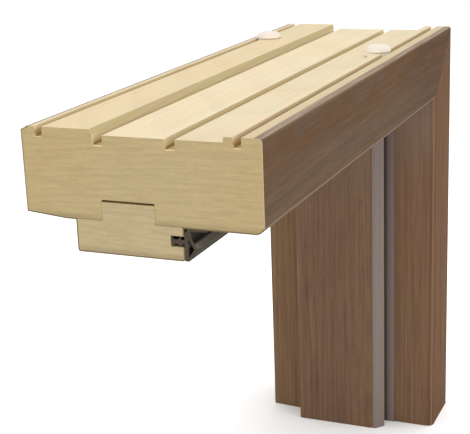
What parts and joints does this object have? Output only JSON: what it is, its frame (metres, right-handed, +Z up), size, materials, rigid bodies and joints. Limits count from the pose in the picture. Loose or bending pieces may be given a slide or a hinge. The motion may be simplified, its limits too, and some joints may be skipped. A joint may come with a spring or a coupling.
{
  "type": "door frame corner sample",
  "caption": "Corner sample of a walnut-veneered timber door frame: a grooved head mitred to one jamb, with door stops, hollow seals and white connector caps.",
  "frame": {"origin": "on the wide wall-side strip of the jamb, at the middle of its width and 140 mm below the top of the head", "axes": "+X out of the wall-side face of the jamb, away from the doorway, and along the head; +Y through the depth of the frame to its back; +Z up the jamb"},
  "size_m": [0.35, 0.12, 0.2825],
  "materials": {
    "core_wood": "sawn and planed, bare",
    "walnut_veneer": "satin lacquer",
    "seal_rubber": "matt",
    "cap_plastic": "satin",
    "connector_steel": "zinc plated"
  },
  "bodies": {
    "root": {"head_core": "core_wood", "head_front_veneer": "walnut_veneer", "head_back_veneer": "walnut_veneer", "head_stop": "core_wood", "head_stop_veneer": "walnut_veneer", "head_seal": "seal_rubber", "jamb_core": "core_wood", "jamb_front_veneer": "walnut_veneer", "jamb_back_veneer": "walnut_veneer", "jamb_stop": "core_wood", "jamb_stop_veneer": "walnut_veneer", "jamb_seal": "seal_rubber", "connector_cap_back": "cap_plastic", "connector_cap_front": "cap_plastic", "connector_cam_back": "connector_steel", "connector_cam_front": "connector_steel", "connector_bolt_back": "connector_steel", "connector_bolt_front": "connector_steel"}
  },
  "joints": []
}
